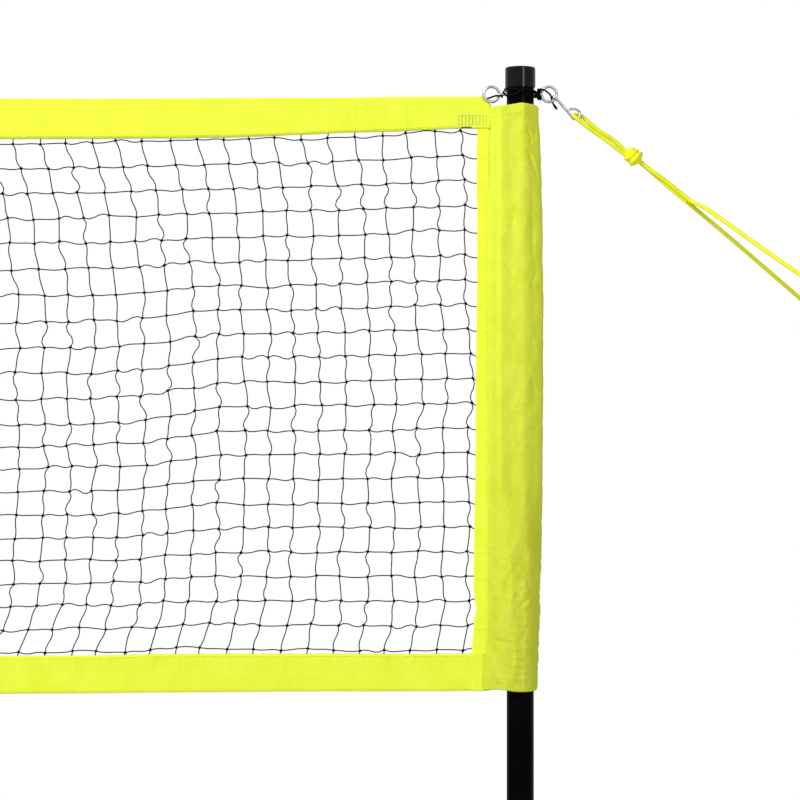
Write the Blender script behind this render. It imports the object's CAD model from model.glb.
# A net on two telescoping poles, guyed to four stakes.
# Metres, in the CAD frame: the right pole stands at the origin and the net runs to -X.
import math

import bpy
import numpy as np
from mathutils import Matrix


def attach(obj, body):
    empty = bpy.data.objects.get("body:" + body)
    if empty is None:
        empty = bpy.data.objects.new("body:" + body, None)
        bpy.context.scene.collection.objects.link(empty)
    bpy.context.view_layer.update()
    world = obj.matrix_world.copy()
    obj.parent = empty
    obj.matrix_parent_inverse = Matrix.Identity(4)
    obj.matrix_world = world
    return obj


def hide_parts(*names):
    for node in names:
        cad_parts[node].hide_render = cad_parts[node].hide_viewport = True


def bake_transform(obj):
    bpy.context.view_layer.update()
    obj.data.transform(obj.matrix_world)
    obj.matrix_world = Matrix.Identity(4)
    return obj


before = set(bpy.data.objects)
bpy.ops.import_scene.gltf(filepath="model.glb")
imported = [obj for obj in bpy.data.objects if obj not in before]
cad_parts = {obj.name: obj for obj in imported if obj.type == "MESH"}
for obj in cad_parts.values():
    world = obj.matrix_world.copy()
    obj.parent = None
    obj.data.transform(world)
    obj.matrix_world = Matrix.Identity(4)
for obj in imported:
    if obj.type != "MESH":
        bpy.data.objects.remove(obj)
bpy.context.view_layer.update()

# ---- Studio ----
# A camera at the net's front, level with its middle, sees the last 600 mm of net and the right pole's head.
# A soft box stands high at the left, a narrow one at the right, and everything else is plain white.
WHITE = (1.0, 1.0, 1.0, 1.0)
POLE_SPAN = 6.1
LAMPS_AIM_Z = 1.95
FLOOR_X, FLOOR_Y, FLOOR_Z = (-12.6, 6.5), (-5.2, 5.2), -0.0005
# The floor's white fades out this far from under the net's middle, before it ends
FADE_X, FADE_Y = 9.4, 5.1

camera = bpy.data.objects.new("camera", bpy.data.cameras.new("camera"))
camera.data.sensor_width = 36.0
camera.data.lens = 105.42
camera.location = (-0.154, -3.0, 1.8526)
camera.rotation_euler = (math.radians(90), 0, 0)
bpy.context.scene.collection.objects.link(camera)
bpy.context.scene.camera = camera
bpy.context.scene.view_settings.view_transform = "Standard"


def lamp(name, around, above, away, size, power):
    """A soft box aimed at the pole's head, from that many degrees round to the right and up."""
    light = bpy.data.objects.new(name, bpy.data.lights.new(name, "AREA"))
    light.data.shape = "RECTANGLE"
    light.data.size, light.data.size_y = size
    light.data.energy = power
    a, e = math.radians(around), math.radians(above)
    light.location = (away * math.sin(a) * math.cos(e), -away * math.cos(a) * math.cos(e),
                      LAMPS_AIM_Z + away * math.sin(e))
    light.rotation_euler = (math.pi / 2 - e, 0, a)
    bpy.context.scene.collection.objects.link(light)


lamp("key_lamp", -54, 36, 4.5, (1.4, 1.4), 178)
lamp("side_lamp", 22, 7, 4.0, (0.8, 1.5), 40)


def added(tree, kind, feeds=None, **settings):
    """A new shader node: its fields or its inputs' fixed values are set, and feeds are linked in."""
    node = tree.nodes.new("ShaderNode" + kind)
    for name, value in settings.items():
        if hasattr(node, name):
            setattr(node, name, value)
        else:
            node.inputs[name.replace("_", " ")].default_value = value
    for socket, source in (feeds or {}).items():
        tree.links.new(source, node.inputs[socket])
    return node


world = bpy.data.worlds.new("white_room")
bpy.context.scene.world = world
world.use_nodes = True
room = world.node_tree
room.nodes.clear()
rays = added(room, "LightPath")
seen = rays.outputs["Is Camera Ray"]
for ray in ("Is Glossy Ray", "Is Transmission Ray"):
    seen = added(room, "Math", {0: seen, 1: rays.outputs[ray]}, operation="MAXIMUM").outputs[0]
room_light = added(room, "Background", Color=WHITE, Strength=0.37)
room_seen = added(room, "Background", Color=WHITE)
room_mix = added(room, "MixShader", {0: seen, 1: room_light.outputs[0], 2: room_seen.outputs[0]})
added(room, "OutputWorld", {0: room_mix.outputs[0]})


def finish(name, colour, roughness, **sockets):
    """A new material with one Principled shader; sockets are its other fixed values."""
    made = bpy.data.materials.new(name)
    made.use_nodes = True
    shader = made.node_tree.nodes["Principled BSDF"]
    shader.inputs["Base Color"].default_value = (*colour, 1.0)
    shader.inputs["Roughness"].default_value = roughness
    for socket, value in sockets.items():
        shader.inputs[socket.replace("_", " ")].default_value = value
    return made


def place_in(made, stretch=(1, 1, 1)):
    """The object's own coordinates in a material, stretched."""
    where = added(made.node_tree, "TexCoord").outputs["Object"]
    return added(made.node_tree, "Mapping", {"Vector": where}, Scale=stretch).outputs["Vector"]


def relief(made, height, depth):
    """Adds a height to the material's bump; later ones lie on the earlier."""
    tree = made.node_tree
    bump = added(tree, "Bump", {"Height": height}, Distance=depth, Strength=1.0)
    normal = tree.nodes["Principled BSDF"].inputs["Normal"]
    if normal.is_linked:
        tree.links.new(normal.links[0].from_socket, bump.inputs["Normal"])
    tree.links.new(bump.outputs["Normal"], normal)


def grain(made, size, depth, detail=2.0):
    """Fine random relief of about that size and depth."""
    bits = added(made.node_tree, "TexNoise", {"Vector": place_in(made)}, Scale=1 / size, Detail=detail)
    relief(made, bits.outputs["Fac"], depth)


floor = bpy.data.objects.new("floor", bpy.data.meshes.new("floor"))
floor.data.from_pydata([(x, y, FLOOR_Z) for x in FLOOR_X for y in FLOOR_Y], [], [(0, 2, 3, 1)])
bpy.context.scene.collection.objects.link(floor)
floor_white = finish("floor_white", (0.86, 0.86, 0.86), 0.9, Specular_IOR_Level=0.0)
grain(floor_white, 0.02, 0.0004)
fade = floor_white.node_tree
spread = added(fade, "Mapping", {"Vector": added(fade, "TexCoord").outputs["Object"]},
               Location=(POLE_SPAN / 2 / FADE_X, 0, 0), Scale=(1 / FADE_X, 1 / FADE_Y, 1))
edge = added(fade, "TexGradient", {"Vector": spread.outputs["Vector"]}, gradient_type="SPHERICAL")
wide = added(fade, "MapRange", {"Value": edge.outputs["Fac"]}, From_Max=0.3)
fade.links.new(wide.outputs["Result"], fade.nodes["Principled BSDF"].inputs["Alpha"])
floor.data.materials.append(floor_white)

# ---- Guy ropes ----
# One yellow braided rope of 5.5 mm for each pole: from its front stake over the hook to its back stake.
# An overhand knot below the hook makes the loop, and each end goes round its stake to a tensioner.
MM = 0.001
SIDES = ("right", "left")
EYE_Z = 2.244
ROPE_D = 5.5 * MM
FALL = math.radians(33.2)
SPLAY = math.radians(30)
SPLIT = np.array([0.215, 0, 2.1074])
ROPE_PITCH = 5.5 * MM
PAIR_TURN = math.radians(36)
PLAIT = 7 * MM
ROPE_STEP = 2 * MM
STAKE_LOOP_Z = 0.018
LEG_LEN = (SPLIT[2] - STAKE_LOOP_Z) / math.sin(FALL)
LOOP_R = 9.05 * MM
TENSIONER_UP = 0.6
STOP_KNOT_UP = TENSIONER_UP + 8.3 * MM
# How far up from the stake's loop the leg moves with the ground alone, and where the return's stretch lies
LEG_HELD = 0.95
RETURN_HELD = (0.02, 0.59)
BRIDLE_KNOT_D, STOP_KNOT_D = 21.4 * MM, 11 * MM
ROPE_YELLOW = [(0.73, 0.77, 0.013), (0.79, 0.835, 0.02), (0.83, 0.88, 0.03)]
# The rope over the hook, up its back strand and down its front one
OVER_HOOK = [
    (138, 2.8, -75), (132, 2.9, -69.4), (123, 2.9, -60.8), (113.5, 2.8, -53.9), (105, 2.9, -49.2),
    (97.5, 3.2, -43.4), (88, 4, -35), (81.5, 4.7, -29.6), (77.2, 4.9, -27), (73.4, 4.7, -26.1),
    (70.2, 3.2, -26.1), (68.6, 0, -26.8), (69, -3.4, -28.2), (71.4, -4.7, -30.9), (76.5, -4.8, -35.3),
    (84, -4.4, -40.9), (94, -3.4, -48), (103.5, -2.9, -54.6), (113.5, -2.8, -61.8), (123, -2.8, -69.3),
    (132, -2.8, -76), (137.4, -2.8, -79.6)]


def on_side(points, side):
    """Points of the right pole, in metres, moved to that side's pole."""
    moved = np.array(points, float)
    if side == "left":
        moved[..., 0] = -POLE_SPAN - moved[..., 0]
    return moved


def from_pin(points):
    """Points given in millimetres from the pole's axis at the eye pin, in metres."""
    return np.array(points, float) * MM + np.array([0, 0, EYE_Z])


KNOT = from_pin([144.7, 0, -79.6])


def smooth_line(points, step):
    """A smooth line through points, in steps of about that length."""
    p = np.array(points, float)
    p = np.vstack([2 * p[0] - p[1], p, 2 * p[-1] - p[-2]])
    line = []
    for a, b, c, d in zip(p, p[1:], p[2:], p[3:]):
        count = max(2, int(np.ceil(np.linalg.norm(c - b) / step)))
        for t in np.arange(count) / count:
            line.append(0.5 * (2 * b + (c - a) * t + (2 * a - 5 * b + 4 * c - d) * t * t
                               + (3 * b - a - 3 * c + d) * t ** 3))
    return np.array([*line, p[-2]])


def along(points):
    """How far along a line each of its points lies."""
    return np.concatenate([[0], np.cumsum(np.linalg.norm(np.diff(points, axis=0), axis=1))])


def square_to(line):
    """Two directions square to a line at each of its points, turned as little as can be."""
    ahead = np.gradient(line, axis=0)
    ahead /= np.linalg.norm(ahead, axis=1)[:, None]
    side = np.zeros_like(ahead)
    v = np.array([0, 1.0, 0]) if abs(ahead[0][1]) < 0.9 else np.array([0, 0, 1.0])
    for i, t in enumerate(ahead):
        v = v - (v @ t) * t
        v = v / np.linalg.norm(v)
        side[i] = v
    return side, np.cross(ahead, side)


def tube(line, radius, sides=12, ends=0.0):
    """Rings round a line; radius is one number, one a ring, or one a corner. ends rounds both ends off."""
    line = np.array(line, float)
    side, up = square_to(line)
    a = 2 * np.pi * np.arange(sides) / sides
    r = np.reshape(radius, (-1, 1)) if np.ndim(radius) == 1 else radius
    r = np.broadcast_to(r, (len(line), sides)).copy()
    if ends:
        s = along(line)
        near = np.minimum(s, s[-1] - s)
        r *= np.sqrt(np.clip(1 - (1 - np.clip(near / ends, 0, 1)) ** 2, 0.02, 1))[:, None]
    around = np.cos(a)[:, None] * side[:, None] + np.sin(a)[:, None] * up[:, None]
    return line[:, None] + r[..., None] * around


def closed_skin(rings):
    """Corners and faces of the skin over a row of rings, with both ends closed."""
    n, m = rings.shape[:2]
    i, k = np.meshgrid(np.arange(n - 1), np.arange(m), indexing="ij")
    a, b = i * m + k, i * m + (k + 1) % m
    quads = np.stack([a, b, b + m, a + m], -1).reshape(-1, 4)
    caps = [list(range(m - 1, -1, -1)), list(range((n - 1) * m, n * m))]
    return rings.reshape(-1, 3), quads.tolist() + caps


def ring_skin(ring, radius, sides):
    """The skin of a tube that runs round and meets itself."""
    rings = tube(ring, radius, sides)
    rings[-1] = rings[0]
    return closed_skin(rings)


def points_at(line, at, values=None):
    """Points that lie that far along a line, or the values that go with its points."""
    s = along(line)
    return np.stack([np.interp(at, s, v) for v in (line if values is None else values).T], -1)


def made_of(name, skins, material, body="upper_frame"):
    """One piece from several skins, riding on a body."""
    corners, faces, count = [], [], 0
    for points, its_faces in skins:
        corners.append(points)
        faces += [[v + count for v in f] for f in its_faces]
        count += len(points)
    mesh = bpy.data.meshes.new(name)
    mesh.from_pydata(np.vstack(corners), [], faces)
    mesh.polygons.foreach_set("use_smooth", [True] * len(mesh.polygons))
    mesh.materials.append(material)
    piece = bpy.data.objects.new(name, mesh)
    bpy.context.scene.collection.objects.link(piece)
    if body:
        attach(piece, body)
    return piece


def braided(line):
    """A braided rope along a line: two sets of strands that wind opposite ways."""
    s = along(line)[:, None]
    a = 2 * np.pi * np.arange(12)[None] / 12
    turn = 2 * np.pi * s / PLAIT
    over = np.cos(2 * a - turn) * np.cos(2 * a + turn)
    return closed_skin(tube(line, ROPE_D / 2 * (0.98 + 0.02 * over)))


def mottle(made, size, colours):
    """Colour that wanders between the given ones in patches of about that size."""
    tree = made.node_tree
    patches = added(tree, "TexNoise", {"Vector": place_in(made)}, Scale=1 / size, Detail=3.0)
    ramp = added(tree, "ValToRGB", {"Fac": patches.outputs["Fac"]})
    while len(ramp.color_ramp.elements) < len(colours):
        ramp.color_ramp.elements.new(0.5)
    for i, colour in enumerate(colours):
        ramp.color_ramp.elements[i].position = 0.3 + 0.4 * i / (len(colours) - 1)
        ramp.color_ramp.elements[i].color = (*colour, 1.0)
    tree.links.new(ramp.outputs["Color"], tree.nodes["Principled BSDF"].inputs["Base Color"])
    return ramp


rope_yellow = finish("rope_yellow", ROPE_YELLOW[1], 0.62, Specular_IOR_Level=0.08)
mottle(rope_yellow, 0.009, ROPE_YELLOW)
grain(rope_yellow, 0.0011, 0.00018, 3.0)


def rope_frame(face):
    """The start of a leg, the direction down it, and the direction from it to its return strand."""
    sign = -1 if face == "front" else 1
    down = np.array([math.cos(FALL) * math.cos(SPLAY), sign * math.cos(FALL) * math.sin(SPLAY),
                     -math.sin(FALL)])
    beside = np.array([-math.sin(SPLAY), sign * math.cos(SPLAY), 0])
    return SPLIT + np.array([0, sign * ROPE_PITCH / 2, 0]), down, beside


def eased(t):
    """From 0 to 1 with a soft start and end as t goes from 0 to 1."""
    t = np.clip(t, 0, 1)
    return t * t * (3 - 2 * t)


def bridle_line():
    """The rope from the split through the knot, over the hook and back to the split."""
    length = np.linalg.norm(SPLIT - KNOT)
    down = (SPLIT - KNOT) / length
    up = np.cross(down, [0, 1, 0])
    s = np.linspace(length, 0.012, 26)
    # The two strands turn about each other a little below the knot
    turned = PAIR_TURN * eased((s - 0.018) / 0.045)[:, None]
    apart = np.cos(turned) * np.array([0, -1, 0]) + np.sin(turned) * up
    front = KNOT + s[:, None] * down + apart * ROPE_PITCH / 2
    back = KNOT + s[::-1, None] * down - apart[::-1] * ROPE_PITCH / 2
    return smooth_line(np.vstack([front, from_pin(OVER_HOOK)[::-1], back]), 1.2 * MM)


def knot_skins(centre, ahead, size, rope_r):
    """An overhand knot pulled tight: a lump with fat turns of rope that lie across it."""
    ahead = ahead / np.linalg.norm(ahead)
    across = np.array([0, 1.0, 0])
    up = np.cross(ahead, across)
    up = up * np.sign(up[2])
    skins = []
    for shift, lean, wide, tilt, fat in (
            (0.22, 0.05, 1.0, 0.1, 1.25), (-0.13, 0.3, 0.9, -0.1, 1.25), (0.02, -0.9, 0.8, 0.3, 1.2)):
        a = np.linspace(0, 2 * np.pi, 37)
        r = (size / 2 - rope_r) * wide
        ring = (centre + shift * size * ahead
                + r * (np.cos(a)[:, None] * (across + tilt * ahead)
                       + np.sin(a)[:, None] * (up + lean * ahead) / math.sqrt(1 + 0.5 * lean * lean)))
        skins.append(ring_skin(ring, rope_r * fat, 14))
    t = np.linspace(-1, 1, 15)
    core = centre + (0.56 * t[:, None] - 0.03) * size * ahead
    lump = 0.465 * size * np.sqrt(np.clip(1 - np.abs(t) ** 2.4, 0.01, 1))
    skins.append(closed_skin(tube(core, lump, 22)))
    return skins


for side in SIDES:
    line = on_side(bridle_line(), side)
    knot = on_side(KNOT, side)
    ahead = on_side(SPLIT, side) - knot
    lump = made_of(f"{side}_bridle_knot", knot_skins(knot, ahead, BRIDLE_KNOT_D, ROPE_D / 2),
                   rope_yellow)
    bridle = made_of(f"{side}_bridle", [braided(line)], rope_yellow)
    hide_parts(f"{side}_guy_bridle")
    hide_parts(f"{side}_guy_bridle")
    for face in ("front", "back"):
        start, down, beside = rope_frame(face)
        name = f"{side}_{face}_guy"
        s = np.arange(0.0, LEG_LEN, ROPE_STEP)
        # The strands lie against each other at the split and close to the leg's line below it
        part = np.clip(1 - s / 0.12, 0, 1)[:, None] ** 2
        over = np.array([math.sin(FALL), 0, math.cos(FALL)])
        stack = (-1 if face == "back" else 1) * ROPE_PITCH / 2 * over
        shift = part * (math.sin(PAIR_TURN) * stack
                        + (math.cos(PAIR_TURN) - 1) * np.array([0, start[1], 0]))
        if face == "front":
            arch = 4.2 * MM * eased(s / 0.03) * (1 - eased((s - 0.03) / 0.15))
            shift = shift + arch[:, None] * np.array([0, 0, 1])
        leg = on_side(start + s[:, None] * down + shift, side)
        leg_piece = made_of(f"{name}_leg", [braided(leg)], rope_yellow, None)
        on_side(start + (LEG_LEN - LEG_HELD) * down, side)
        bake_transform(leg_piece)
        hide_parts(name)
        foot = start + LEG_LEN * down
        up_from = foot + 2 * LOOP_R * beside
        a = np.linspace(0, np.pi, 15)
        round_stake = (foot + LOOP_R * (1 - np.cos(a))[:, None] * beside
                       + LOOP_R * np.sin(a)[:, None] * down)
        back_up = up_from - np.arange(ROPE_STEP, STOP_KNOT_UP + 12 * MM, ROPE_STEP)[:, None] * down
        back_line = on_side(np.vstack([round_stake, back_up]), side)
        return_piece = made_of(f"{name}_return", [braided(back_line)], rope_yellow, None)
        slider = f"{side}_{face}_tensioner_slider"
        near_stake, near_plate = [on_side(up_from - at * down, side) for at in RETURN_HELD]
        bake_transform(return_piece)
        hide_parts(name)
        stop = on_side(up_from - STOP_KNOT_UP * down, side)
        stop_ahead = on_side(start + down, side) - on_side(start, side)
        stop_knot = made_of(f"{name}_stop_knot", knot_skins(stop, stop_ahead, STOP_KNOT_D, 2.1 * MM),
                            rope_yellow, slider)
        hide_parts(name)

# ---- Head cord and lashings ----
# A black laid cord of 2.5 mm runs inside the head tape's fold and comes out at both ends.
# There it passes the inner eye, goes a turn and a quarter round the pole, and is hitched on the outer eye.
CORD_D = 2.5 * MM
CORD_LAY = 8 * MM
WRAP_R = 19.15
NET_Y = 4.5
NET_PLANE = NET_Y * MM
FOLD_Z = 2.2377
CORD_END_X = 0.047
TO_POLE = [
    (-46.7, NET_Y, -6.3), (-44.4, NET_Y, -6.3), (-41.5, 4.2, -4.9), (-38, 1.8, -3.9), (-34.5, -1.2, -2.9),
    (-31, -3.4, -2.2), (-27.4, -4.3, -2.4), (-24.3, -2.8, -2.5), (-23.4, 0, -3.4), (-22.9, 2.5, -2.4),
    (-22.4, 3.4, 0), (-21.9, 2.5, 2.4), (-21.4, 0, 3.4), (-21, -2.7, 2.5), (-20.6, -4.3, 0.4),
    (-19.4, -7.4, -1.8), (-17.4, -10.7, -3.2), (-15.2, -13.6, -4)]
# Height of the turns against the angle round the pole, and how far they stand off it
TURN_HEIGHTS = [
    (240, -3), (255, -0.8), (270, 1.8), (285, 2.8), (300, 3), (360, 3.7), (500, 4.4), (540, 6.2), (570, 6),
    (585, 5.6), (600, 5.2), (615, 3.6), (630, 1), (645, -1.6), (660, -3.3)]
TURN_LIFTS = [
    (240, 0), (500, 0), (540, 0.8), (570, 0.1), (600, 0.2), (615, 1.8), (630, 3.1), (645, 1.5), (660, 0.1)]
ACROSS = [(14.6, -13.5, -4.3), (17.6, -9.8, -4.7), (18.8, -5.9, -4.6), (18.9, -3.6, -4.0)]
# The hitch round the pin's shank: its place along the shank and its radius against its angle
HITCH_X = [
    (75, 18.9), (270, 19), (360, 19.6), (450, 21.4), (540, 21.5), (630, 22.1), (720, 22.5), (810, 22.95),
    (990, 22.95), (1080, 23.8), (1125, 25.2), (1170, 25.75), (1350, 25.6), (1380, 26.1)]
HITCH_R = [
    (75, 3.5), (705, 3.5), (750, 4.3), (810, 6.2), (990, 6.2), (1080, 6.5), (1125, 6.9),
    (1350, 6.9), (1380, 6.8)]
TO_END = [
    (27.9, -5, 5.4), (30.2, -5, 5.1), (33, -4.8, 3.3), (35.8, -4.6, 1.1), (38.2, -4, -1.2),
    (39.6, -2.2, -3.9), (40, 0.2, -5.9), (41, 3, -7.9), (41.9, 3.4, -9.8), (42.3, 2.5, -11.8),
    (43.2, 0.8, -13.6), (44.6, -0.4, -15.8), (46.4, -1, -18.4)]

cord_black = finish("cord_black", (0.003, 0.003, 0.004), 0.7, Specular_IOR_Level=0.02)
mottle(cord_black, 0.002, [(0.0015, 0.0018, 0.002), (0.003, 0.003, 0.004), (0.006, 0.006, 0.008)])
grain(cord_black, 0.0005, 0.0001)
fray_grey = finish("fray_grey", (0.16, 0.16, 0.15), 0.7)
mottle(fray_grey, 0.001, [(0.08, 0.08, 0.08), (0.25, 0.25, 0.23)])


def laid(line, radius):
    """A laid cord of three strands twisted together."""
    s = along(line)[:, None]
    a = 2 * np.pi * np.arange(14)[None] / 14
    return closed_skin(tube(line, radius * (0.94 + 0.06 * np.cos(3 * (a - 2 * np.pi * s / CORD_LAY))), 14))


def looked_up(pairs, at):
    """The value at a place in a list of places and values, straight between them."""
    return np.interp(at, *np.array(pairs, float).T)


def wound(at, radius):
    """Points round a circle at angles in degrees."""
    return radius * np.cos(np.radians(at)), radius * np.sin(np.radians(at))


turn_at = np.arange(240, 661, 15)
turn_x, turn_y = wound(turn_at, WRAP_R + looked_up(TURN_LIFTS, turn_at))
turns = np.stack([turn_x, turn_y, looked_up(TURN_HEIGHTS, turn_at)], 1)
hitch_at = np.arange(75, 1381, 22.5)
hitch_y, hitch_z = wound(hitch_at, -looked_up(HITCH_R, hitch_at))
hitch = np.stack([looked_up(HITCH_X, hitch_at), hitch_y, hitch_z], 1)
lashing_points = from_pin(np.vstack([TO_POLE, turns, ACROSS, hitch, TO_END]))
for side in SIDES:
    route = on_side(smooth_line(lashing_points, 0.55 * MM), side)
    # The turns of the hitch are pressed fat, and the cut end has opened
    s = along(route)[:, None]
    swell = 1 + 0.12 * eased((s - 0.19) / 0.02) * eased((0.34 - s) / 0.02)
    swell += 0.4 * eased((s - s[-1] + 0.009) / 0.006)
    lashing = made_of(f"{side}_lashing", [laid(route, CORD_D / 2 * swell)], cord_black)
    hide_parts(f"{side}_head_lashing")
    tip, out = route[-1], route[-1] - route[-6]
    out = out / np.linalg.norm(out)
    rng = np.random.default_rng(5)
    fibres = []
    for _ in range(16):
        lean = out + rng.normal(0, 0.22, 3)
        lean = lean / np.linalg.norm(lean)
        base = tip - 0.6 * MM * out + rng.normal(0, 0.45, 3) * MM
        t = np.linspace(0, rng.uniform(1.6, 2.8) * MM, 5)[:, None]
        fibres.append(closed_skin(tube(base + t * lean, np.linspace(0.22, 0.08, 5) * MM, 5)))
    fray = made_of(f"{side}_lashing_fray", fibres, fray_grey)
head_line = np.stack([np.arange(-POLE_SPAN + CORD_END_X, -CORD_END_X + 1e-6, 6 * MM)[::-1]] * 3, 1)
head_line[:, 1:] = (NET_PLANE, FOLD_Z)
head_line[0, 0] = -CORD_END_X
head_cord = made_of("head_cord_run", [closed_skin(tube(head_line, CORD_D / 2 - 0.05 * MM, 8))],
                    cord_black)
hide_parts("head_cord")

# ---- Netting ----
# Knotted mesh of dark navy twine: 22 rows of knots about 32 mm apart and 185 in each row.
# The twine is soft, so each side of a mesh bends its own way and the rows hang a little at mid-height.
TWINE_R = 0.78 * MM
ROWS = 22
COLUMNS = 185
END_PITCH, MID_PITCH = 33.85, 31.46
TOP_ROW = [
    (-653, 2181.3), (-423, 2185.6), (-288, 2187.5), (-204, 2190.7), (-172, 2192.4), (-123, 2195.6),
    (-77, 2198.3)]
FOOT_ROW = [(-653, 1528.2), (-470, 1531.5), (-400, 1534.0), (-77, 1531.4)]
SAG = [(0, 0), (4, 3.8), (6, 8.3), (8, 14.1), (11, 18.4), (13, 11.5), (16, 9), (18, 4.5), (21, 0)]
LEAN_AT_END = [
    0, 3.3, 5.5, 5.9, 5.5, 6.3, 6.3, 7.3, 9.2, 12.9, 15.8, 15.4, 10.2, 10.2, 8.8, 10.8, 12.8, 9.2, 7.4, 11.4,
    9.2, 2.9]
LEAN_FURTHER_IN = [
    0, 11.3, 20.1, 26.8, 28.4, 32.9, 39.2, 38.5, 41.1, 37.1, 36.2, 40.7, 38.5, 43.4, 39.7, 37.8, 37.1, 34.3,
    34.7, 30.4, 20.9, 8.2]
FIRST_COLUMN_X = -76.7
# Rows lie in front of the net's plane and columns behind it, so that they cross at a knot
CROSSING = np.array([0, 0.3 * MM, 0])
# The columns' ends inside the tapes, and the rows' inside the flange
STRAND_TOP, STRAND_FOOT = 2.2045, 1.512
FLANGE_X = -0.0505

twine_navy = finish("twine_navy", (0.012, 0.009, 0.05), 0.8, Specular_IOR_Level=0.02)
mottle(twine_navy, 0.012, [(0.005, 0.004, 0.022), (0.011, 0.008, 0.045), (0.02, 0.015, 0.075)])
grain(twine_navy, 0.0006, 0.00012)


def knots_of_half(rng):
    """The knots from the right end to the middle, in millimetres."""
    k = np.arange(COLUMNS // 2 + 1)
    # The meshes are a little wider near the end than at mid-net
    pitch = MID_PITCH + (END_PITCH - MID_PITCH) * eased((50 - k[:-1]) / 33)
    top_x = FIRST_COLUMN_X - np.concatenate([[0], np.cumsum(pitch)])
    top_x *= 1 + (POLE_SPAN / 2 / MM / -top_x[-1] - 1) * (k / k[-1]) ** 2
    # Each row leans by its own amount, which grows over the first 16 columns and dies out at mid-net
    i = np.arange(ROWS)[:, None]
    share = np.clip(k / 16, 0, 1.06)[None]
    lean = np.array(LEAN_AT_END)[:, None] * (1 - share) + np.array(LEAN_FURTHER_IN)[:, None] * share
    x = top_x[None] + lean * eased((k[-1] - k) / 72)[None]
    z_top, z_foot = looked_up(TOP_ROW, x), looked_up(FOOT_ROW, x)
    sag = looked_up(SAG, i) * eased((-365 - x) / 148)
    z = z_top + (z_foot - z_top) * i / (ROWS - 1) - sag
    loose = (eased(k / 2) * 0.9 + 0.35)[None]
    x = x + rng.normal(0, 1, x.shape) * 1.1 * loose
    z = z + rng.normal(0, 1, x.shape) * 0.75 * loose
    y = NET_Y + rng.normal(0, 1, x.shape) * 0.5 * eased(k / 3)[None]
    return np.stack([x, y, z], -1) * MM


rng = np.random.default_rng(21)
right_half, left_half = knots_of_half(rng), knots_of_half(rng)
left_half[..., 0] = -POLE_SPAN - left_half[..., 0]
middle = (right_half[:, -1:] + left_half[:, -1:]) / 2
knots = np.concatenate([right_half[:, :-1], middle, left_half[:, -2::-1]], axis=1)


def limp_strand(points, bend, axis, lift):
    """A line through knots whose stretches bend at random, sideways to their run."""
    line = []
    t = np.arange(5) / 5
    for a, b in zip(points, points[1:]):
        s_bend, bow = rng.normal(0, bend, 2) * (1, 0.7)
        p = a + t[:, None] * (b - a)
        p[:, axis] += s_bend * np.sin(2 * np.pi * t) + (bow + lift) * np.sin(np.pi * t)
        p[:, 1] += rng.normal(0, 0.3 * MM) * np.sin(np.pi * t)
        line.extend(p)
    return np.array([*line, points[-1]])


def net_knot(at):
    """A knot of the net: a small lump, and two turns of twine, one each way across the other."""
    lump = at + rng.uniform(0.9, 1.15, 3) * np.array([
        (2.6, 0, 0), (0, 0, 2.5), (-2.6, 0, 0), (0, 0, -2.5), (0, 1.6, 0), (0, -1.6, 0)]) * MM
    skins = [(lump, [(0, 1, 5), (1, 2, 5), (2, 3, 5), (3, 0, 5), (1, 0, 4), (2, 1, 4), (3, 2, 4),
                     (0, 3, 4)])]
    a = np.linspace(0, 2 * np.pi, 7)
    for slant in (0.8, -0.7):
        lean = slant + rng.normal(0, 0.25)
        r = TWINE_R * rng.uniform(1.7, 2.1)
        ring = at + r * np.stack([np.cos(a) * math.cos(lean), 0.8 * np.sin(a),
                                  np.cos(a) * math.sin(lean)], 1)
        skins.append(ring_skin(ring, TWINE_R * 1.1, 4))
    return skins


parts_at = [0, 37, 74, 111, 148, COLUMNS - 1]
for part, (first, last) in enumerate(zip(parts_at, parts_at[1:])):
    skins = []
    for i in range(ROWS):
        strand = limp_strand(knots[i, first:last + 1] - CROSSING, 1.1 * MM, 2, -0.5 * MM)
        droop = (4.5 - 5.5 * i / ROWS) * MM
        for end, outwards in ((0, 1), (COLUMNS - 1, -1)):
            if end not in (first, last):
                continue
            into = knots[i, end] - CROSSING
            gone = on_side([FLANGE_X, NET_PLANE, into[2] - droop], "right" if end == 0 else "left")
            t = np.linspace(0, 1, 7)[:, None]
            stretch = into + t * (gone - into)
            stretch[:, 2] -= 2.4 * MM * np.sin(np.pi * t[:, 0]) * np.sign(droop)
            strand = np.vstack([strand[::-outwards], stretch[1:]])[::-outwards]
        skins.append(closed_skin(tube(strand, TWINE_R, 5)))
    for k in range(first + (part > 0), last + 1):
        column = knots[:, k] + CROSSING
        strand = limp_strand(column, 1.5 * MM, 0, 0)
        outwards = 1 if k < COLUMNS // 2 else -1
        up = [column[0, 0] + outwards * rng.normal(1, 1) * MM, NET_PLANE, STRAND_TOP]
        down = [column[-1, 0] + outwards * rng.normal(-4, 1) * MM, NET_PLANE, STRAND_FOOT]
        strand = np.vstack([np.linspace(up, column[0], 5)[:-1], strand,
                            np.linspace(column[-1], down, 4)[1:]])
        skins.append(closed_skin(tube(strand, TWINE_R, 5)))
        for i in range(ROWS):
            skins += net_knot(knots[i, k])
    piece = made_of(f"netting_part_{part + 1}", skins, twine_navy)
    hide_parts("netting")

# ---- Tapes ----
# Two strips of yellow woven cloth, folded over the netting's upper and lower edges and stitched through.
# The head tape holds the head cord in its fold; its lower edge climbs towards the poles.
CLOTH_T = 0.8 * MM
TAPE_END_X = -0.0378
FINE_LEN = 0.66
FOLD_R = 1.75 * MM
HEAD_Z = 2.24
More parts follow.
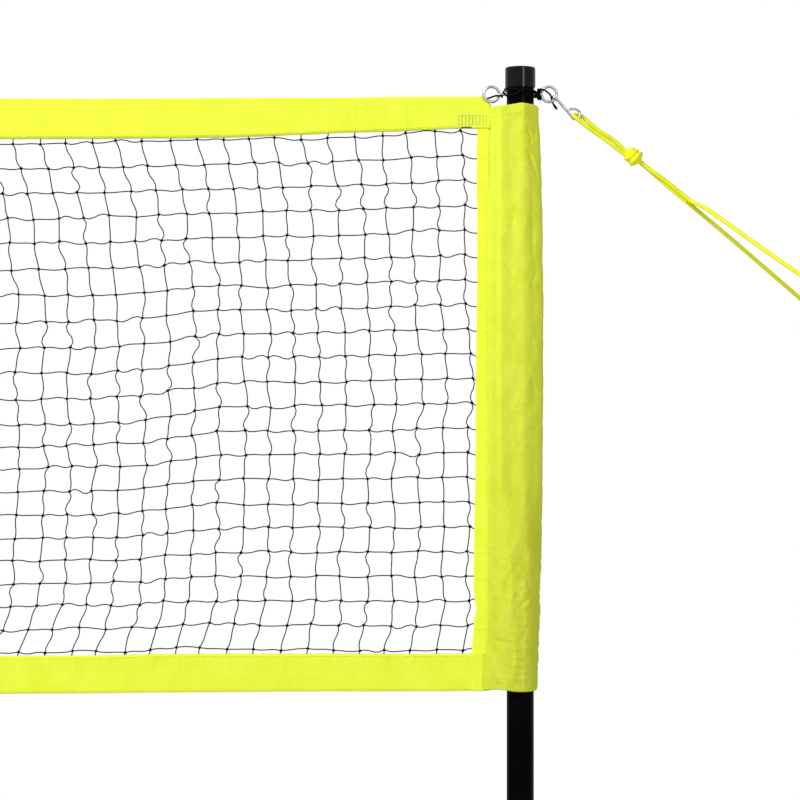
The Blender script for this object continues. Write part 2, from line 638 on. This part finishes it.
# Against the distance from the pole's axis: the head tape's height, its fold's rise in millimetres,
# and how high the foot tape's two edges lie
TAPE_HEIGHT = [
    (0.037, 0.0395), (0.064, 0.0398), (0.09, 0.0393), (0.116, 0.0411), (0.167, 0.0434), (0.218, 0.0444),
    (0.269, 0.0466), (0.321, 0.049), (0.372, 0.0506), (0.45, 0.0519), (0.65, 0.0529)]
TAPE_RISE = [
    (0.0475, 2.5), (0.054, 1.9), (0.075, 1.5), (0.167, 1.45), (0.198, 0.95), (0.228, 0.45), (0.26, 0.2),
    (0.39, 0.15), (0.413, -0.05), (0.474, -0.45), (0.54, -0.7), (0.65, -0.7)]
FOOT_TAPE_TOP = [(0.4, 1.5272), (0.47, 1.5267), (0.52, 1.5255), (0.6, 1.5244)]
FOOT_TAPE_LOW = [
    (0.044, 1.48), (0.1, 1.4789), (0.23, 1.4789), (0.35, 1.478), (0.41, 1.4779), (0.474, 1.4773),
    (0.536, 1.4767), (0.66, 1.4757)]
SLOT_HALF = 1.2 * MM
RIB_RISE, RIB_HALF = 0.25 * MM, 1.6 * MM
EDGE_CURL, HEM_T = 0.35 * MM, 0.35 * MM
CLOTH_YELLOW = [(0.755, 0.855, 0.044), (0.785, 0.885, 0.052), (0.81, 0.91, 0.064)]


def weave(made):
    """Relief of warp and weft, one thread every 0.7 mm."""
    tree = made.node_tree
    warp, weft = [added(tree, "TexWave", {"Vector": place_in(made)}, bands_direction=axis,
                        Scale=0.314 / 0.0007, Distortion=0.6).outputs["Fac"] for axis in ("X", "Z")]
    relief(made, added(tree, "Math", {0: warp, 1: weft}, operation="MAXIMUM").outputs[0], 0.00008)


def yellow_cloth(name, colours):
    """Polyester cloth with its weave and its small dents, and the ramp of its colours."""
    made = finish(name, CLOTH_YELLOW[1], 0.72, Specular_IOR_Level=0.05, Sheen_Weight=0.02)
    ramp = mottle(made, 0.03, colours)
    weave(made)
    grain(made, 0.004, 0.0003)
    return made, ramp


cloth_yellow, _ = yellow_cloth("cloth_yellow", CLOTH_YELLOW)


def cloth(grid):
    """A sheet of cloth, with both its faces and its rims, from the grid at the middle of its thickness."""
    normal = np.cross(np.gradient(grid, axis=0), np.gradient(grid, axis=1))
    normal /= np.linalg.norm(normal, axis=2)[..., None] + 1e-12
    n, m = grid.shape[:2]
    both = np.concatenate([(grid + normal * CLOTH_T / 2).reshape(-1, 3),
                           (grid - normal * CLOTH_T / 2).reshape(-1, 3)])
    i, k = np.meshgrid(np.arange(n - 1), np.arange(m - 1), indexing="ij")
    a = i * m + k
    over = np.stack([a, a + m, a + m + 1, a + 1], -1).reshape(-1, 4)
    under = over[:, ::-1] + n * m
    corner = np.arange(n * m).reshape(n, m)
    rims = []
    for rim in (corner[0], corner[:, -1], corner[-1, ::-1], corner[::-1, 0]):
        rims += [[a, b, b + n * m, a + n * m] for a, b in zip(rim.tolist(), rim[1:].tolist())]
    return both, over.tolist() + under.tolist() + rims


def waves(x, lengths, seed):
    """A smooth random run of values near -1..1 along x."""
    phase = np.random.default_rng(seed).uniform(0, 2 * np.pi, len(lengths))
    return sum(np.sin(2 * np.pi * x / l + p) for l, p in zip(lengths, phase)) / len(lengths)


def tape_stations():
    """Places across the net: close together where the ends show, and wider apart between."""
    fine = np.arange(0, FINE_LEN, 1.5 * MM)
    coarse = np.arange(FINE_LEN, POLE_SPAN / 2 + TAPE_END_X, 9 * MM)
    half = np.concatenate([fine, coarse]) - TAPE_END_X
    return np.concatenate([-half, -POLE_SPAN + half[::-1]])


def pressed_through(x, columns):
    """Ridges where the netting's strands lie inside the folded cloth."""
    columns = np.sort(columns)
    at = np.searchsorted(columns, x)
    low = columns[np.clip(at - 1, 0, len(columns) - 1)]
    high = columns[np.clip(at, 0, len(columns) - 1)]
    gap = np.minimum(np.abs(x - low), np.abs(x - high))
    return RIB_RISE * np.exp(-(gap / RIB_HALF) ** 2)


def grid_of(x, y, z):
    """A grid of points from rows, columns or whole grids of their coordinates."""
    return np.stack(np.broadcast_arrays(x, y, z), -1)


def folded(leaves, fold):
    """One grid from the front leaf, the fold and the back leaf, each given as its x, y and z."""
    front, back = grid_of(*leaves[0]), grid_of(*leaves[1])
    return np.concatenate([front[:, ::-1], grid_of(*fold), back], axis=1)


x = tape_stations()
from_end = np.minimum(-x, POLE_SPAN + x)
height = looked_up(TAPE_HEIGHT, from_end) + 0.25 * MM * waves(x, [0.055, 0.09, 0.16], 3)
v = np.linspace(0, 1, 12)
arc = np.radians(np.linspace(0, 180, 7))[1:-1]
rib = pressed_through(x, knots[0, :, 0])
crown = HEAD_Z - CLOTH_T / 2 - 0.1 * MM + looked_up(TAPE_RISE, from_end) * MM
# The corner is cut off the head tape's ends, and their two layers part to hold the sleeve
crown = (crown - np.clip((0.0475 - from_end) / 0.0097, 0, 1) * 11.4 * MM)[:, None]
mouth = 1.0 * MM * eased((0.0435 - from_end) / 0.003)[:, None]
head_sway = 0.7 * MM * waves(x, [0.21, 0.37, 0.6], 4) * eased((from_end - 0.05) / 0.2)
middle_y = NET_PLANE + head_sway[:, None]
z = crown - FOLD_R - v * (height[:, None] - (HEAD_Z - crown) - FOLD_R)
apart = SLOT_HALF + (FOLD_R - SLOT_HALF) * np.exp(-v * height[:, None] / (5 * MM)) + mouth
apart = apart + rib[:, None] * eased(v * 4)
leaves = []
for layer in (-1, 1):
    edge = EDGE_CURL * np.abs(waves(x, [0.027, 0.041, 0.066], 6 + layer))[:, None] * v ** 2
    leaves.append((x[:, None], middle_y + layer * (apart + edge), z))
fold = (x[:, None], middle_y - (FOLD_R + mouth) * np.cos(arc), crown - FOLD_R + FOLD_R * np.sin(arc))
head_tape = made_of("head_tape", [cloth(folded(leaves, fold))], cloth_yellow)
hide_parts("top_tape")

v = np.linspace(0, 1, 14)
top_edge = looked_up(FOOT_TAPE_TOP, from_end) + 0.25 * MM * waves(x, [0.06, 0.13, 0.2], 8)
low_edge = looked_up(FOOT_TAPE_LOW, from_end) + 0.2 * MM * waves(x, [0.19, 0.31, 0.7], 9)
fold_z = (low_edge + 1.3 * MM)[:, None]
rib = pressed_through(x - 3 * MM, knots[-1, :, 0])
foot_sway = 0.8 * MM * waves(x, [0.17, 0.31, 0.5], 10) * eased((from_end - 0.05) / 0.2)
middle_y = NET_PLANE + foot_sway[:, None]
z = fold_z + v * (top_edge[:, None] - fold_z)
# Its lower half is thicker by the turned-in hem
apart = SLOT_HALF + HEM_T * (1 - eased((v - 0.44) / 0.04)) + rib[:, None] * eased((v - 0.5) * 6)
leaves = []
for layer in (-1, 1):
    edge = EDGE_CURL * np.abs(waves(x, [0.03, 0.047, 0.07], 11 + layer))[:, None] * v ** 3
    leaves.append((x[:, None], middle_y + layer * (apart + edge), z))
fold = (x[:, None], middle_y + (SLOT_HALF + HEM_T) * np.array([-0.7, 0, 0.7]),
        fold_z - 0.9 * MM * np.array([0.7, 1, 0.7]))
foot_tape = made_of("foot_tape", [cloth(folded(leaves, fold))], cloth_yellow)
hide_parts("bottom_tape")

# ---- Sleeves ----
# A pocket of yellow cloth slipped over each pole, hemmed at both ends, with creases from handling.
# Its two layers run on past the seam as a flange that grips the netting's end.
# The pocket's outline seen from above, higher and lower, in millimetres from the pole's axis
FRONT_HIGH = [
    (-41, 3.1), (-38.5, -1), (-35, -9), (-31, -16.5), (-27, -20), (-20, -20), (-13, -19.4), (-5, -19.3),
    (3, -19.2), (7, -18.3), (11, -16.9), (15, -15), (22, -12), (26.2, -9.3), (27.7, -5), (28, 0)]
FRONT_LOW = [
    (-41, 3.1), (-38.5, -2), (-35, -8), (-30, -14), (-24, -18), (-16, -20), (-8, -20.2), (0, -19.5),
    (5, -18.8), (9, -17.6), (13, -15.4), (18, -11.5), (23, -6.5), (26.5, -2), (28, 3)]
BACK = [(27, 6), (23, 12), (16, 17), (8, 19.5), (0, 20), (-8, 19.8), (-16, 19), (-24, 16.5),
        (-31, 12.5), (-37, 8), (-41, 5.9)]
# Against the height: how far its right side stands off the axis, and where its seam lies
SIDE_AT = [
    (1.4876, 21.8), (1.5068, 22.8), (1.5324, 23.7), (1.558, 25.1), (1.5837, 25.6), (1.6093, 26.4),
    (1.6477, 27), (1.6989, 28), (1.7501, 28.3), (1.8014, 28), (1.8526, 29), (1.9038, 29.2), (1.9551, 29),
    (2.0063, 28.8), (2.0575, 28.3), (2.096, 27.7), (2.1344, 26.7), (2.1728, 25.2), (2.1984, 24.5),
    (2.2112, 23.1), (2.2176, 22.7), (2.224, 22.9)]
SEAM_AT = [(1.525, 46.1), (1.537, 41), (2.113, 41), (2.127, 38.2)]
# Its upper and lower rims against the distance from the axis
RIM_TOP = [
    (-36.5, 2227.2), (-26, 2226.6), (-15.7, 2227.8), (0, 2230.5), (15, 2229), (19, 2228.1), (22.7, 2225.9)]
RIM_FOOT = [
    (-46, 1481.2), (-30, 1483.5), (-20, 1484.1), (-10, 1482), (0, 1481.6), (12, 1481.6), (20, 1482.5),
    (22, 1487.5)]
SLEEVE_TOP, SLEEVE_FOOT = 2.231, 1.480
# Below the first of these heights the outline is the lower one; the foot tape lies in it below the second
LOWER_FROM, FOOT_SLOT_TOP = 1.752, 1.531
AROUND = 112
ROW_STEP = 1.8 * MM
# The outlines' right side and seam, from the axis, and how much deeper the pocket is than they are
OUTLINE_SIDE, OUTLINE_SEAM = 28, 41
DEEPER = 0.21
# Creases seen from the front: x and z of one end and the other, width and depth, in millimetres
CREASES = [
    (7, 2204, 13, 2186, 2.2, 1.12), (13, 2187, 12.4, 2176, 2, 0.98), (19.6, 2207, 17.4, 2182, 2.2, 1.12),
    (9.6, 2172, 15.2, 2154, 2.2, 1.26), (15.2, 2155, 22, 2134, 2.4, 1.4), (14, 2171, 24, 2140, 1.8, -0.84),
    (15.5, 2100, 15.5, 2024, 4.5, 0.98), (21, 2021, 12.4, 1990, 3.4, 0.98), (-25, 2114, -25, 2076, 4.5, 1.12),
    (-11, 2088, -11, 2068, 4, 0.98), (-23, 2029, -9, 2012, 4.5, 1.12), (-1, 2170, -1, 1985, 6, -0.42),
    (10, 1900, 20, 1850, 5, 0.7), (-30, 1960, -20, 1880, 5, 0.56), (2, 1662, 8, 1640, 4, 0.98),
    (8, 1642, 9, 1612, 4, 0.84), (14.5, 1604, 0, 1590, 3.2, 1.4), (13, 1571, 0, 1546, 3.4, 1.26),
    (9, 1541, 15, 1532, 3.5, -0.84), (-31, 1651, -11, 1648, 2.6, 1.12), (-40, 1549, -10, 1543, 4.5, 1.26),
    (-3, 1549, 7, 1547, 2.8, 1.12), (-39, 1604, -23, 1594, 2.4, 0.98), (-36, 1598, -24, 1590, 2, 0.7),
    (-30, 1491, -28, 1481, 2.5, 1.4), (-37, 1700, -38, 1617, 2.5, 1.12)]


def mirrored(skins, side):
    """Skins made for the right side, moved to that side with their faces kept outwards."""
    if side == "right":
        return skins
    return [(on_side(points, side), [f[::-1] for f in faces]) for points, faces in skins]


def darker_below(made, ramp, low, high, share):
    """Colour that falls to a share of itself from one height down to another, as a worn hem does."""
    tree = made.node_tree
    height = added(tree, "SeparateXYZ", {0: place_in(made)}).outputs["Z"]
    rise = added(tree, "MapRange", {"Value": height}, From_Min=low, From_Max=high, To_Min=share)
    shade = added(tree, "VectorMath", {0: ramp.outputs["Color"]}, operation="SCALE")
    tree.links.new(rise.outputs["Result"], shade.inputs["Scale"])
    tree.links.new(shade.outputs[0], tree.nodes["Principled BSDF"].inputs["Base Color"])


# The pocket is a little duller than the tapes, and more so towards its foot
DULLER = np.array([0.9, 0.9, 1.0])
pocket_yellow, worn = yellow_cloth("pocket_yellow", [DULLER * colour for colour in CLOTH_YELLOW])
darker_below(pocket_yellow, worn, 1.5, 2.0, 0.83)


def creased(x, z):
    """Depth of the creases at points seen from the front."""
    deep = np.zeros_like(x)
    for x0, z0, x1, z1, wide, depth in CREASES:
        a, d = np.array([x0, z0]) * MM, np.array([x1 - x0, z1 - z0]) * MM
        t = ((x - a[0]) * d[0] + (z - a[1]) * d[1]) / (d @ d)
        near = np.hypot(x - a[0] - np.clip(t, 0, 1) * d[0], z - a[1] - np.clip(t, 0, 1) * d[1])
        fade = np.clip(1.2 - np.abs(2 * t - 1), 0.0, 1)
        side = (x - a[0]) * d[1] - (z - a[1]) * d[0]
        fall_off = np.where(side > 0, wide, wide * 0.45) * MM
        deep += depth * MM * fade * np.exp(-(near / fall_off) ** 2)
    return deep


def crumpled(x, z):
    """Random soft creases that cross each other, in metres; the cloth is more crumpled lower down."""
    rng = np.random.default_rng(31)
    deep = np.zeros_like(x)
    for size in rng.uniform(18, 60, 16) * MM:
        lean = rng.normal(0, 0.75)
        a = (x * math.cos(lean) + z * math.sin(lean)) / size
        b = (z * math.cos(lean) - x * math.sin(lean)) / size
        fold = np.sin(2 * np.pi * a + 1.3 * np.sin(1.7 * b + rng.uniform(0, 6)) + rng.uniform(0, 6))
        where_it_is = eased(0.5 + 0.9 * np.sin(1.9 * b + rng.uniform(0, 6)))
        deep += 0.0125 * size * (np.abs(fold) ** 0.8 - 0.6) * where_it_is
    return deep * (0.5 + 1.0 * eased((1.75 - z) / 0.15))


def outline(points):
    """A smooth outline cut into equal steps."""
    line = smooth_line([(a, b, 0) for a, b in points], 0.5)
    return points_at(line, np.linspace(0, along(line)[-1], AROUND))[:, :2]


z = np.arange(SLEEVE_FOOT, SLEEVE_TOP, ROW_STEP)
high_outline, low_outline = outline(FRONT_HIGH + BACK), outline(FRONT_LOW + BACK)
grid = np.zeros((len(z), AROUND, 3))
for j, height_here in enumerate(z):
    share = eased((LOWER_FROM - height_here) / 0.055)
    loop = (high_outline + share * (low_outline - high_outline))[::-1]
    side_x = looked_up(SIDE_AT, height_here) + 0.3 * waves(height_here, [0.09, 0.16], 12)
    loop[:, 0] *= np.where(loop[:, 0] > 0, side_x / OUTLINE_SIDE, 1)
    loop[:, 1] *= 1 + DEEPER * np.clip((loop[:, 0] + OUTLINE_SEAM) / 8, 0, 1)
    to_seam = np.clip((-31 - loop[:, 0]) / 10, 0, 1)
    loop[:, 0] -= (looked_up(SEAM_AT, height_here) - OUTLINE_SEAM) * to_seam
    # At the foot the two layers part to take the foot tape
    loop[:, 1] += (1.9 * eased((FOOT_SLOT_TOP - height_here) / 0.004) * to_seam ** 2
                   * np.sign(loop[:, 1] - NET_Y))
    grid[j] = grid_of(loop[:, 0] * MM, loop[:, 1] * MM, height_here)
out = grid * (1, 1, 0)
out /= np.linalg.norm(out, axis=2)[..., None]
grid_x, grid_y, grid_z = [grid[..., axis] for axis in range(3)]
front = grid_y < 0
# The back has the same creases as the front, upside down and turned round
CREASES_FLIP_Z = 3.72
turned = np.where(front, grid_x, -grid_x * 0.8 + 4 * MM)
deep = creased(turned, np.where(front, grid_z, CREASES_FLIP_Z - grid_z))
hem = 0.5 * MM * (1 - eased((grid_z - 1.4985) / 0.003))
hem += 0.25 * MM * eased((grid_z - 2.2150) / 0.003)
fine = 0.16 * MM * waves(grid_z + 0.3 * grid_x, [0.013, 0.021, 0.034], 14)
near_seam = eased((grid_x + 0.040) / 0.006)
deep += crumpled(turned, grid_z)
grid += out * ((-deep + fine) * near_seam + hem)[..., None]
# The cloth clears the wider tubes too, which it slides over when the poles are let down
clear = (21.9 - 1.7 * eased((grid_z - 1.95) / 0.1)) * MM
grid[..., :2] *= np.maximum(1, clear / np.linalg.norm(grid[..., :2], axis=2))[..., None]
from_axis = grid_x / MM
grid_z += eased((grid_z - 2.17) / 0.061) * (looked_up(RIM_TOP, from_axis) * MM - z[-1])
grid_z += eased((1.53 - grid_z) / 0.05) * (looked_up(RIM_FOOT, from_axis) * MM - z[0])

SEAM_IN = 3 * MM
FLANGE_EDGE = [
    (1.528, 60.6), (1.5324, 62.3), (1.558, 59.6), (1.574, 58.5), (1.5837, 55.6), (1.593, 58), (1.6093, 59.5),
    (1.6477, 59.3), (1.6989, 58.6), (1.7501, 57.4), (1.8014, 57), (1.8526, 56.9), (1.9038, 56.5),
    (1.9551, 55.9), (2.0063, 54.9), (2.0575, 55.1), (2.096, 55), (2.1344, 55.6), (2.1728, 55.2)]
fz = np.arange(1.4795, 2.2075, 1.5 * MM)
root = 0.8 * MM - looked_up(SEAM_AT, fz) * MM
reach = looked_up(FLANGE_EDGE, fz) * MM + root + 0.2 * MM * waves(fz, [0.03, 0.05], 15)
row_z = knots[:, 0, 2] - 2 * MM
# It lies over the foot tape and inside the head tape
apart = SLOT_HALF + 1.15 * MM * eased((1.532 - fz) / 0.003) - 0.84 * MM * eased((fz - 2.2) / 0.003)
v = np.linspace(0, 1, 10)
fx = root[:, None] - v * reach[:, None]
# The netting's rows press slanting ridges into it, its seam pulls it in, and its free edge waves
ridges = sum(np.exp(-((fz[:, None] - q - 0.1 * (fx + 0.048)) / (2.2 * MM)) ** 2) for q in row_z)
pulled_in = 0.3 * MM * np.exp(-((fx - root[:, None] + SEAM_IN) / (1.1 * MM)) ** 2)
free = (eased((fz - 1.535) / 0.01) * eased((2.195 - fz) / 0.01))[:, None]
away = apart[:, None] - pulled_in + 0.5 * MM * ridges * eased(v * 3) * free
middle_y = NET_PLANE + 0.5 * MM * waves(fz, [0.06, 0.11, 0.19], 16)[:, None] * free * v
leaves = [(fx, middle_y + layer * away, fz[:, None]) for layer in (-1, 1)]
fold = (root[:, None] + 0.5 * MM, NET_PLANE + apart[:, None] * np.array([-0.6, 0, 0.6]), fz[:, None])
flange_grid = folded(leaves, fold)[:, ::-1]
for side in SIDES:
    pocket = made_of(f"{side}_pocket", mirrored([cloth(grid)], side), pocket_yellow)
    flange = made_of(f"{side}_flange", mirrored([cloth(flange_grid)], side), cloth_yellow)
    for piece in (pocket, flange):
        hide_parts(f"{side}_sleeve")

# ---- Stitching ----
# Lockstitch in yellow thread holds both tapes, the flanges and the hems; each end has a box of grey bartacks.
# A black thread end shows under the box, where the netting is tied in.
THREAD_R = 0.28 * MM
EDGE_TO_SEAM = 3.2 * MM
HEMS_Z = (1.5005, 2.2138)
TACKS_Z, ZIGZAG_TOP = (2.2180, 2.2062), 2.2178
# Dark thread ends, (x, y, z) in millimetres
THREAD_ENDS = [[(-76.7, -0.2, 2201.1), (-72, -1.0, 2201.7), (-66, -1.0, 2201.9), (-62, -0.2, 2201.4)],
               [(-38.6, -0.4, 2229.8), (-38.2, -0.6, 2229.4), (-38.0, -0.6, 2228.8)]]

thread_yellow = finish("thread_yellow", (0.62, 0.72, 0.06), 0.6)
mottle(thread_yellow, 0.01, [(0.55, 0.64, 0.05), (0.7, 0.8, 0.08)])
thread_grey = finish("thread_grey", (0.72, 0.78, 0.40), 0.7)
mottle(thread_grey, 0.01, [(0.68, 0.74, 0.34), (0.76, 0.82, 0.48)])
thread_dark = finish("thread_dark", (0.012, 0.013, 0.018), 0.7)
mottle(thread_dark, 0.002, [(0.008, 0.009, 0.012), (0.02, 0.02, 0.026)])


def stitches(line, pitch, lift, share=0.72, dip=0.6):
    """A row of stitches along a line; each stands out by lift and dips into the cloth at its ends."""
    at = np.arange(0, along(line)[-1] - pitch, pitch)[:, None] + np.linspace(0, share * pitch, 4)
    rise = np.array([-dip, 0.8, 0.8, -dip])[:, None]
    rise = rise * points_at(line, at[:, 1:2], np.broadcast_to(lift, line.shape))
    return [closed_skin(tube(p, THREAD_R, 4)) for p in points_at(line, at) + rise]


tape_threads, seams, hems, tacks, ends = [], [], [], [], []
shown = from_end > 0.062
seam_z = fz[(fz > 1.483) & (fz < 2.1965)]
for layer in (-1, 1):
    for edge_z, sway in ((HEAD_Z - height + EDGE_TO_SEAM, head_sway), (top_edge - EDGE_TO_SEAM, foot_sway)):
        seam_y = NET_PLANE + sway + layer * (SLOT_HALF + CLOTH_T / 2 + 0.12 * MM)
        tape_threads += stitches(np.stack([x, seam_y, edge_z], 1)[shown], 5.0 * MM,
                                 (0, layer * 0.18 * MM, 0))
    seam_y = NET_PLANE + layer * (np.interp(seam_z, fz, apart) + CLOTH_T / 2 - 0.1 * MM)
    seams += stitches(np.stack([np.interp(seam_z, fz, root) - SEAM_IN, seam_y, seam_z], 1), 3.4 * MM,
                      (0, layer * 0.15 * MM, 0))
    face_y = NET_PLANE + layer * (SLOT_HALF + CLOTH_T / 2 + 0.55 * MM)
    for tack_x in np.linspace(-0.0795, -0.0432, 9):
        zigzag = np.array([(tack_x + (1.0 * MM if n % 2 else -1.0 * MM), face_y, ZIGZAG_TOP - n * 0.62 * MM)
                           for n in range(19)])
        tacks.append(closed_skin(tube(zigzag, 0.22 * MM, 4)))
    for tack_z in TACKS_Z:
        line = np.array([(tack_x, face_y, tack_z) for tack_x in np.linspace(-0.0805, -0.0422, 12)])
        tacks.append(closed_skin(tube(line, 0.3 * MM, 4)))
for hem_z in HEMS_Z:
    row = np.argmin(np.abs(grid[:, AROUND // 2, 2] - hem_z))
    ring = smooth_line((grid[row] + out[row] * (CLOTH_T / 2 + 0.1 * MM))[3:-3], 1 * MM)
    lift = ring * (1, 1, 0)
    lift *= 0.15 * MM / np.linalg.norm(lift, axis=1)[:, None]
    hems += stitches(ring, 3.6 * MM, lift, 2.6 / 3.6, 0.8)
for line in THREAD_ENDS:
    points = smooth_line(np.array(line) * MM, 1 * MM) + np.array([0, 1.9 * MM, 0])
    ends.append(closed_skin(tube(points, 0.7 * MM, 8, ends=1 * MM)))
made_of("tape_stitches", tape_threads, thread_yellow)
for side in SIDES:
    for name, skins, thread, slot in (
            ("seam_stitches", seams, thread_yellow, "yellow_cloth"),
            ("hem_stitches", hems, thread_yellow, "yellow_cloth"),
            ("bartack", tacks, thread_grey, "yellow_cloth"),
            ("thread_ends", ends, thread_dark, "dark_twine")):
        made_of(f"{side}_{name}", mirrored(skins, side), thread)

# ---- Guy hooks and eye pins ----
# Zinc-plated wire, bent cold: the pin goes through the pole and ends in an eye on each side.
# The hook hangs in the outer eye and its lower bend carries the rope.
PIN_R, HOOK_R = 1.8 * MM, 1.7 * MM
# In millimetres from the pole's axis at the pin: the eye, the hook's seat in it and the hook's lower bend
EYE_X, EYE_R = 37, 9.7
SEAT_TURN, SEAT_R = math.radians(-33), 3.8
BEND_X, BEND_Z, BEND_R = 70.8, -26.2, 5.4


def uneven_gloss(made, size, low, high, stretch=(1, 1, 1)):
    """Roughness that wanders between two values."""
    tree = made.node_tree
    rubbed = added(tree, "TexNoise", {"Vector": place_in(made, stretch)}, Scale=1 / size, Detail=4.0)
    between = added(tree, "MapRange", {"Value": rubbed.outputs["Fac"]}, From_Min=0.3, From_Max=0.7,
                    To_Min=low, To_Max=high)
    tree.links.new(between.outputs["Result"], tree.nodes["Principled BSDF"].inputs["Roughness"])


zinc = finish("zinc", (0.42, 0.42, 0.42), 0.35, Metallic=1.0, Specular_Tint=(0.15, 0.15, 0.15, 1))
mottle(zinc, 0.006, [(0.30, 0.30, 0.305), (0.42, 0.42, 0.42), (0.5, 0.5, 0.495)])
uneven_gloss(zinc, 0.004, 0.28, 0.44)
grain(zinc, 0.0012, 0.00004)


def eye_points(sign):
    """The eye's wire from the shank, below and round, in millimetres."""
    a = np.radians(np.linspace(198, 530, 42))
    ring = np.stack([EYE_X + EYE_R * np.cos(a), 0 * a, EYE_R * np.sin(a)], 1)
    bend = np.array([(24.6, 0, 0), (26.6, 0, -0.5), (27.6, 0, -1.7)])
    return np.vstack([bend, ring]) * (sign, 1, 1)


shank = np.array([(x_mm, 0, 0) for x_mm in np.linspace(-21, 21, 8)])
pin_line = np.vstack([eye_points(-1)[::-1], shank, eye_points(1)])
from_eye = np.array([math.cos(SEAT_TURN), 0, math.sin(SEAT_TURN)])
seat = np.array([EYE_X, 0, 0]) + EYE_R * from_eye
over_eye = [seat + SEAT_R * (math.cos(a) * np.array([0, 1, 0]) - math.sin(a) * from_eye)
            for a in np.radians(np.arange(0, 181, 22.5))]
leg = [(48.5, -2.4, -8.3), (54.0, -0.7, -14.6), (59.3, 0, -20.6), (63.4, 0, -25.4)]
low_bend = [np.array([BEND_X + BEND_R * math.cos(a), 0, BEND_Z + BEND_R * math.sin(a)])
            for a in np.radians(np.arange(205, 366, 16))]
tip = [(76.1, 0.4, -22.8), (72.8, 0.9, -19.8), (67.8, 1.6, -18.4), (62.3, 2.4, -18.8)]
hook_line = np.vstack([seat + 4 * from_eye + [0, SEAT_R, 0], *over_eye, leg, *low_bend, tip])
for side in SIDES:
    for name, node, line, step, wire_r in (
            ("pin", "eye_pin", pin_line, 1.0 * MM, PIN_R),
            ("hook", "guy_hook", hook_line, 0.8 * MM, HOOK_R)):
        wire = tube(on_side(smooth_line(from_pin(line), step), side), wire_r, 16, ends=0.5 * MM)
        piece = made_of(f"{side}_{name}", [closed_skin(wire)], zinc)
        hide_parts(f"{side}_{node}")

# ---- Poles ----
# Three steel tubes one inside the other, powder-coated black, with snap buttons at both joints.
# The cap on the head and the foot below are moulded of black plastic.
tube_black = finish("tube_black", (0.001, 0.001, 0.0011), 0.26, Specular_IOR_Level=0.016)
uneven_gloss(tube_black, 0.02, 0.14, 0.22, (1, 1, 0.3))
grain(tube_black, 0.0009, 0.00003)
mottle(tube_black, 0.05, [(0.0007, 0.0007, 0.0008), (0.001, 0.001, 0.0011), (0.0016, 0.0016, 0.0017)])
plastic_black = finish("plastic_black", (0.0022, 0.0022, 0.003), 0.12, Specular_IOR_Level=0.13)
mottle(plastic_black, 0.02, [(0.0018, 0.0018, 0.0025), (0.0026, 0.0026, 0.0036)])
uneven_gloss(plastic_black, 0.006, 0.09, 0.16)
grain(plastic_black, 0.0011, 0.00004)
button_steel = finish("button_steel", (0.5, 0.5, 0.49), 0.26, Metallic=1.0)
mottle(button_steel, 0.004, [(0.42, 0.42, 0.41), (0.56, 0.56, 0.55)])
uneven_gloss(button_steel, 0.003, 0.2, 0.36)


def coat(names, material):
    """Gives CAD nodes a finish."""
    for name in names:
        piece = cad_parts[name]
        piece.data.materials.clear()
        piece.data.materials.append(material)


coat([f"{side}_{part}_tube" for side in SIDES for part in ("top", "middle", "bottom")], tube_black)
coat([f"{side}_{part}" for side in SIDES for part in ("cap", "foot")], plastic_black)
coat([f"{side}_{part}_button" for side in SIDES for part in ("upper", "lower")], button_steel)

# ---- Stakes and tensioners ----
# A steel rod with a moulded head holds each rope's loop; a two-hole plate above it sets the tension.
# Each foot has a short steel spike that keeps the pole from sliding.
coat(["ground_stakes", "right_ground_spike", "left_ground_spike"], zinc)
coat(["stake_heads"] + [f"{side}_{face}_tensioner" for side in SIDES for face in ("front", "back")],
     plastic_black)
